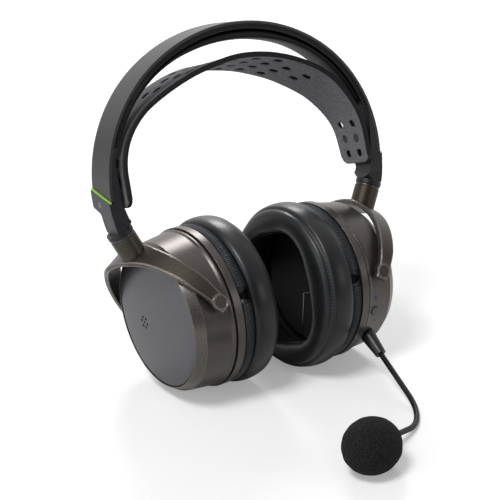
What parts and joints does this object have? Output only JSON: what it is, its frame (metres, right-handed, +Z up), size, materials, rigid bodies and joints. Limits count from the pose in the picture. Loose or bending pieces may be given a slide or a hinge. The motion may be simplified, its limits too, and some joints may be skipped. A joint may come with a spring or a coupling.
{
  "type": "headset",
  "caption": "Over-ear wireless headset with a suspension headband, extending sliders, swivelling ear cups and a detachable boom microphone.",
  "frame": {"origin": "on the floor, under the middle of the box round the headset as it stands on its ear pads and windscreen", "axes": "+X to the wearer's left, -Y the way the wearer looks, +Z up from the floor; the headset leans back by 13.55 degrees"},
  "size_m": [0.1812, 0.2007, 0.2045],
  "materials": {
    "gunmetal_strip": "satin anodised",
    "black_rail": "matte",
    "soft_roll": "soft woven",
    "strap_elastic": "speckled elastic",
    "charcoal_cap": "matte",
    "slate_plate": "satin",
    "green_line": "gloss",
    "steel_screw": "machined",
    "black_post": "matte",
    "slider_metal": "brushed",
    "bronze_metal": "satin anodised",
    "cup_shell": "metallic paint",
    "bezel_metal": "satin anodised",
    "cover_plate": "satin paint",
    "ribbed_plastic": "ribbed matte",
    "pad_leather": "leatherette over foam",
    "baffle_cloth": "cloth covered",
    "driver_metal": "satin",
    "grille": "matte",
    "cell_wrap": "shrink wrapped",
    "green_board": "solder mask",
    "black_gloss": "gloss",
    "black_satin": "satin",
    "blue_light": "lit",
    "port_metal": "bright",
    "neck_rubber": "rubber skinned steel",
    "capsule_metal": "satin",
    "foam": "open foam"
  },
  "bodies": {
    "headband": {"band_spring": "gunmetal_strip", "band_channel": "black_rail", "band_roll": "soft_roll", "suspension_strap": "strap_elastic", "cap_screws": "steel_screw", "end_cap_right": "charcoal_cap", "end_cap_left": "charcoal_cap", "cap_plate_right": "slate_plate", "cap_plate_left": "slate_plate", "accent_stripe_right": "green_line", "accent_stripe_left": "green_line", "strap_posts_right": "black_post", "strap_posts_left": "black_post"},
    "arm_right": {"slider_right": "slider_metal", "swivel_screw_right": "steel_screw"},
    "fork_right": {"collar_right": "bronze_metal", "yoke_right": "bronze_metal", "pivot_pins_right": "bronze_metal"},
    "cup_right": {"barrel_right": "cup_shell", "bezel_right": "bezel_metal", "outer_plate_right": "cover_plate", "flange_right": "cup_shell", "ribbed_ring_right": "ribbed_plastic", "baffle_right": "baffle_cloth", "driver_right": "driver_metal", "driver_grille_right": "grille", "ear_pad_right": "pad_leather", "battery": "cell_wrap"},
    "arm_left": {"slider_left": "slider_metal", "swivel_screw_left": "steel_screw"},
    "fork_left": {"collar_left": "bronze_metal", "yoke_left": "bronze_metal", "pivot_pins_left": "bronze_metal"},
    "cup_left": {"barrel_left": "cup_shell", "bezel_left": "bezel_metal", "outer_plate_left": "cover_plate", "flange_left": "cup_shell", "ribbed_ring_left": "ribbed_plastic", "baffle_left": "baffle_cloth", "driver_left": "driver_metal", "driver_grille_left": "grille", "ear_pad_left": "pad_leather", "circuit_board": "green_board", "status_light": "blue_light", "audio_jack": "black_gloss", "charge_port": "port_metal", "mic_socket": "black_satin"},
    "button": {"power_button": "black_satin"},
    "wheel": {"volume_wheel": "ribbed_plastic"},
    "boom": {"mic_plug": "black_satin", "gooseneck": "neck_rubber", "mic_capsule": "capsule_metal", "windscreen": "foam"}
  },
  "joints": [
    {"name": "slide_right", "type": "slide", "parent": "headband", "child": "arm_right", "axis": [0.1016, -0.2325, -0.9673], "range_m": [0, 0.022]},
    {"name": "swivel_right", "type": "hinge", "parent": "arm_right", "child": "fork_right", "pos_m": [-0.08271, 0.05587, 0.10018], "axis": [0.412, -0.2115, -0.8863], "range_deg": [-12, 100]},
    {"name": "tilt_right", "type": "hinge", "parent": "fork_right", "child": "cup_right", "pos_m": [-0.0533, 0.04853, 0.0482], "axis": [-0.074, 0.8861, -0.4576], "range_deg": [-1.4, 15]},
    {"name": "slide_left", "type": "slide", "parent": "headband", "child": "arm_left", "axis": [-0.142, -0.2325, -0.9622], "range_m": [0, 0.022]},
    {"name": "swivel_left", "type": "hinge", "parent": "arm_left", "child": "fork_left", "pos_m": [0.08226, 0.05587, 0.09673], "axis": [0.4488, 0.2115, 0.8683], "range_deg": [-12, 100]},
    {"name": "tilt_left", "type": "hinge", "parent": "fork_left", "child": "cup_left", "pos_m": [0.04992, 0.04748, 0.04668], "axis": [-0.1238, 0.9184, -0.3758], "range_deg": [-15, 3]},
    {"name": "power_press", "type": "slide", "parent": "cup_left", "child": "button", "axis": [-0.0919, 0.988, 0.1242], "range_m": [0, 0.0008], "stiffness_N_per_m": 900, "springref_m": -0.0006},
    {"name": "volume_turn", "type": "hinge", "parent": "cup_left", "child": "wheel", "pos_m": [0.04563, 0.0714, 0.01554], "axis": [0.9918, 0.102, -0.0774], "continuous": true},
    {"name": "boom_unplug", "type": "slide", "parent": "cup_left", "child": "boom", "axis": [0.0504, -0.8667, -0.4963], "range_m": [0, 0.008]}
  ]
}
